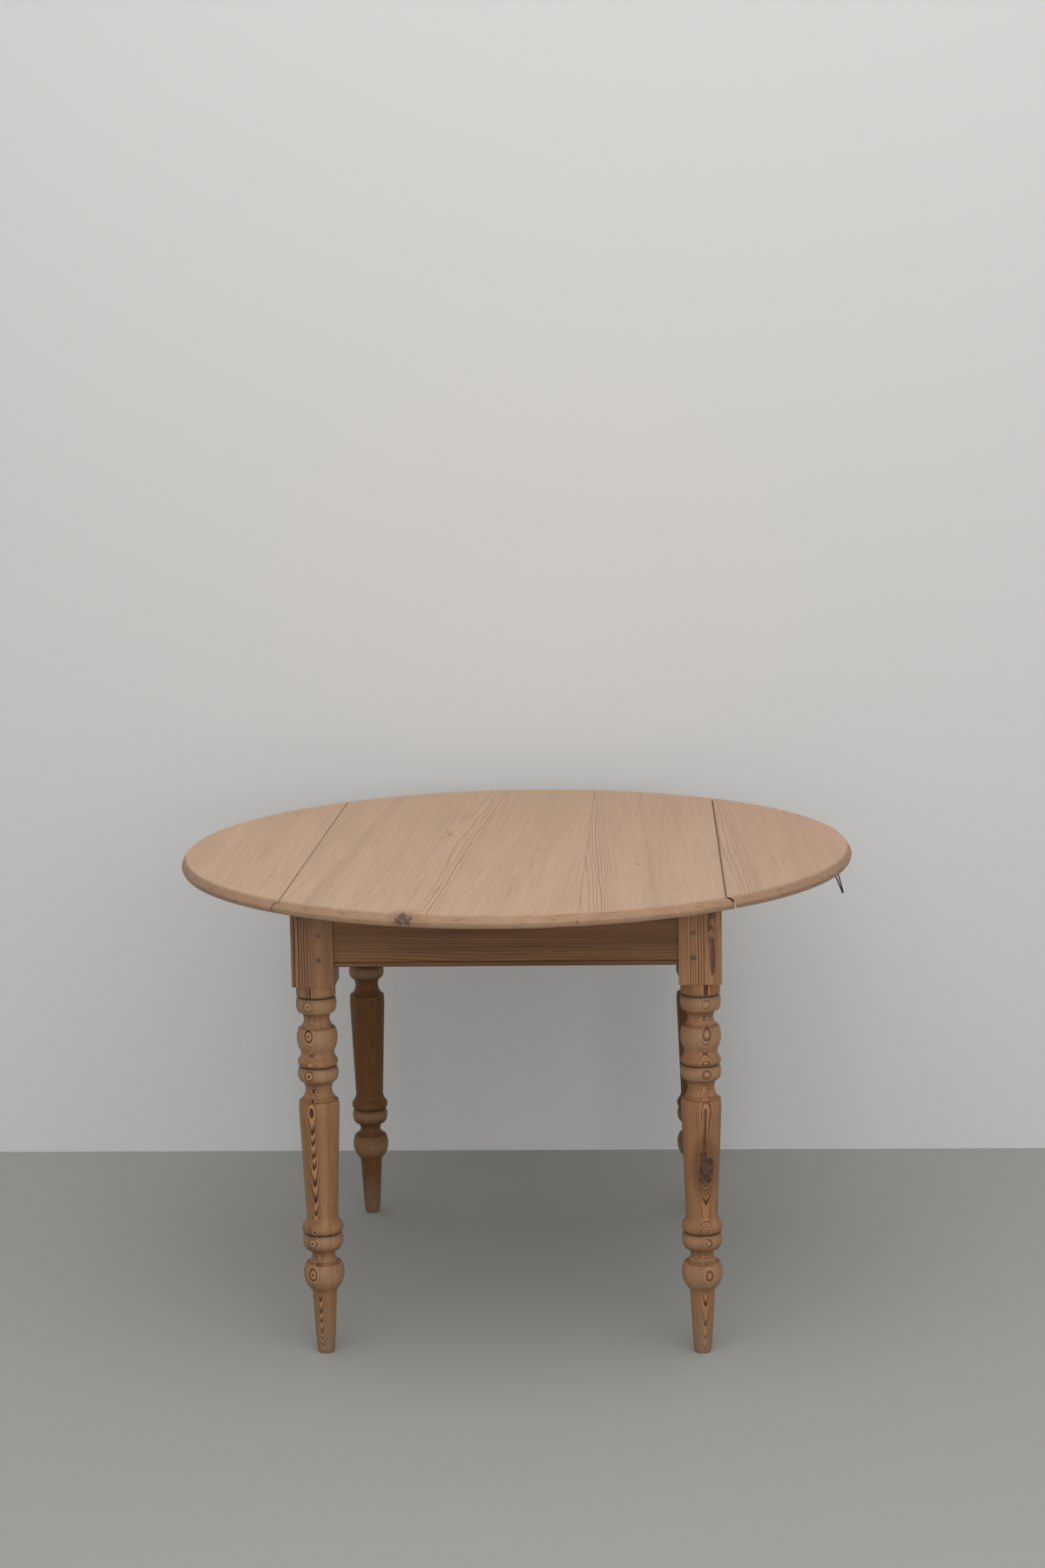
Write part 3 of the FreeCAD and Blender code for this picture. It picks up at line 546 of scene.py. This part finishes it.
def makeLegs():
    # the back legs get darker copies of the leg colours: painted shade under the table
    shaded = {"early": (0.190, 0.084, 0.027, 1), "late": (0.070, 0.024, 0.009, 1),
              "streakColour": (0.115, 0.048, 0.015, 1), "tintColour": (0.145, 0.060, 0.019, 1),
              "lateLow": 0.2, "lateHigh": 0.4, "specular": 0.18}
    dressEach("waxedPine_", legLook, paintLegWearAndShade, {
        "leg_front_left": {"pith": (-0.3383, -0.5044, 0.3), "turn": (0, 0, -15.6),
                           "ringWidth": 0.00090,
                           "lateFrom": 0.25, "lateFull": 0.78, "lateHigh": 0.60,
                           "early": (0.515, 0.274, 0.119, 1),
                           "streakColour": (0.275, 0.122, 0.050, 1),
                           "zones": [(0.0, 0.020), (-0.027, 0.010)], "knots": [blockKnots[2]],
                           "eyes": leftEyes, "eyeStart": 0.62},
        "leg_front_right": {"pith": (0.3364, -0.5050, 0.3), "turn": (0, 0, 14.8),
                            "ringWidth": 0.0015,
                            "lateFrom": 0.52, "lateFull": 0.88, "lateLow": 0.45, "lateHigh": 0.55,
                            "zones": [(0.0, 0.020)], "early": (0.435, 0.214, 0.092, 1),
                            "knots": [legKnot, knotTail, pitchFlame] + blockKnots[:2],
                            "eyes": rightEyes, "eyeStart": 0.95},
        "leg_back_left": {"pith": (-0.230, 0.200, 0.3), "ringWidth": 0.0022, **shaded},
        "leg_back_right": {"pith": (0.380, 0.230, 0.3), "ringWidth": 0.0016, **shaded},
    })


makeLegs()
print("legs dressed")


# aprons
apronLook = {
    **legLook,
    "ringWidth": 0.0026, "wave": 3.2, "waveScale": 7.0, "waveAlong": 0.30, "ripple": 0.8,
    "lateFrom": 0.45, "lateLow": 0.45, "lateHigh": 0.45,
    "early": (0.250, 0.112, 0.040, 1), "late": (0.062, 0.021, 0.009, 1),
    "streak": 0.85, "streakScale": 80.0, "streakColour": (0.105, 0.045, 0.017, 1),
    "tintColour": (0.180, 0.078, 0.028, 1), "broad": 0.60, "specular": 0.25,
}
apronWearAndShade = {
    "paleEnd": (-0.26, -0.08), "paleShare": 0.28, "paleColour": (0.300, 0.150, 0.068, 1),
    "beadLine": (0.6358, 0.0014), "beadShare": 0.55, "beadColour": (0.045, 0.028, 0.018, 1),
    "shadowUnderTop": (0.700, 0.730), "shadowUnderTopShare": 0.30, "shadowUnderTopColour": (0.085, 0.048, 0.028, 1),
    "smudgeScale": 9.0, "smudgeStep": (0.4, 0.75), "smudgeShare": 0.30,
    "smudgeColour": (0.13, 0.075, 0.042, 1),
}


def paintApronWearAndShade(wood, colour):
    # paler at the left end, dark along the bead, and a painted shadow close under the top
    wearAndShading = apronWearAndShade
    x, _, z = wood.parts(wood.place())
    smudge = wood.noise(wood.place(), wearAndShading["smudgeScale"], 4.0, 0.6)
    colour = wood.mix((1.0 - x.step(*wearAndShading["paleEnd"])) * wearAndShading["paleShare"],
                      colour, wearAndShading["paleColour"])
    colour = wood.mix(z.bell(*wearAndShading["beadLine"]) * wearAndShading["beadShare"], colour, wearAndShading["beadColour"])
    # painted shadow on the strip close under the top
    colour = wood.mix(z.step(*wearAndShading["shadowUnderTop"]) * wearAndShading["shadowUnderTopShare"],
                      colour, wearAndShading["shadowUnderTopColour"])
    return wood.mix(smudge.step(*wearAndShading["smudgeStep"]) * wearAndShading["smudgeShare"],
                    colour, wearAndShading["smudgeColour"])


def makeAprons():
    dressEach("waxedPine_", apronLook, paintApronWearAndShade, {
        "apron_front": {"pith": (0, -0.300, 0.60), "turn": (0, 90.6, 0)},
        "apron_back": {"pith": (0, 0.470, 0.63), "turn": (0, 89.2, 0)},
        "apron_left": {"pith": (-0.400, 0, 0.64), "turn": (-89.2, 0, 0)},
        "apron_right": {"pith": (0.250, 0, 0.61), "turn": (-90.7, 0, 0)},
    })


makeAprons()
print("aprons dressed")


# unseen wood inside the frame
innerLook = {
    **topLook,
    "early": (0.43, 0.275, 0.155, 1), "late": (0.24, 0.125, 0.065, 1),
    "streakColour": (0.34, 0.205, 0.11, 1), "tintColour": (0.36, 0.225, 0.13, 1),
    "ringWidth": 0.004, "lateFrom": 0.5, "lateLow": 0.25, "roughness": 0.72,
}
pegLook = {
    **legLook,
    "early": (0.165, 0.086, 0.043, 1), "late": (0.055, 0.025, 0.013, 1),
    "streakColour": (0.09, 0.05, 0.03, 1), "tintColour": (0.12, 0.06, 0.03, 1),
    "pith": (0, 0, 0.66), "turn": (0, 90, 0),
}
innerWear = {"scale": 14.0, "step": (0.35, 0.8), "share": 0.45, "colour": (0.21, 0.14, 0.085, 1)}


def innerGrime(wood, colour):
    smudge = wood.noise(wood.place(), innerWear["scale"], 4.0, 0.6)
    return wood.mix(smudge.step(*innerWear["step"]) * innerWear["share"],
                    colour, innerWear["colour"])


def makeInner():
    names = sorted(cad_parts)
    blocks = [n for n in names if n.startswith(("corner_block", "glue_block"))]
    dressEach("sawnPine_", innerLook, innerGrime, {
        "bearer_rail": {"pith": (0.02, 0, 0.66), "turn": (-90, 0, 0)},
        "bearer_left": {"pith": (0, -0.08, 0.70), "turn": (0, 90, 0)},
        "bearer_right": {"pith": (0, 0.08, 0.70), "turn": (0, 90, 0)},
    })
    dress(blocks, pine("sawnPine_blocks", {**innerLook, "dirtAndShade": innerGrime,
                                           "pith": (0, 0, 0.70), "turn": (0, 0, 0)}))
    pegs = [n for n in names if "pegs" in n or "stop_pins" in n]
    dress(pegs, pine("pegWood", {**pegLook, "dirtAndShade": innerGrime}))


makeInner()
print("inner pieces dressed")


# iron
ironLook = {
    "grainScale": 210.0, "patchScale": 45.0, "patchStep": (0.42, 0.66),
    "dark": (0.105, 0.095, 0.088, 1), "bright": (0.21, 0.19, 0.175, 1),
    "rustShare": 0.8, "rustColour": (0.16, 0.065, 0.028, 1),
    "roughLow": 0.42, "roughHigh": 0.38, "relief": 0.0003, "metallic": 0.85,
}
wireLook = {
    "grainScale": 420.0, "speckStep": (0.45, 0.7),
    "dark": (0.012, 0.012, 0.013, 1), "speckColour": (0.040, 0.028, 0.020, 1),
    "roughLow": 0.45, "roughHigh": 0.25, "relief": 0.0001, "metallic": 0.2,
}


def makeIron():
    # hinges and screws are half rusted, and the wire loop and its staple are nearly black
    iron = Finish("oldIron")
    look = ironLook
    rust = iron.noise(iron.place(), look["grainScale"], 5.0, 0.65)
    patch = iron.noise(iron.place(), look["patchScale"], 3.0, 0.6).step(*look["patchStep"])
    bare = iron.mix(rust, look["dark"], look["bright"])
    colour = iron.mix(patch * look["rustShare"], bare, look["rustColour"])
    oldIron = iron.surface(colour, look["roughLow"] + patch * look["roughHigh"], rust,
                           look["relief"], metallic=(1.0 - patch) * look["metallic"])
    dress([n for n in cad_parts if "hinge" in n or "screws" in n], oldIron)
    wire = Finish("darkWire")
    look = wireLook
    speck = wire.noise(wire.place(), look["grainScale"], 4.0, 0.6)
    colour = wire.mix(speck.step(*look["speckStep"]), look["dark"], look["speckColour"])
    dress(["pull_loop", "pull_staple"],
          wire.surface(colour, look["roughLow"] + speck * look["roughHigh"], speck,
                       look["relief"], metallic=look["metallic"]))


makeIron()
print("iron dressed")
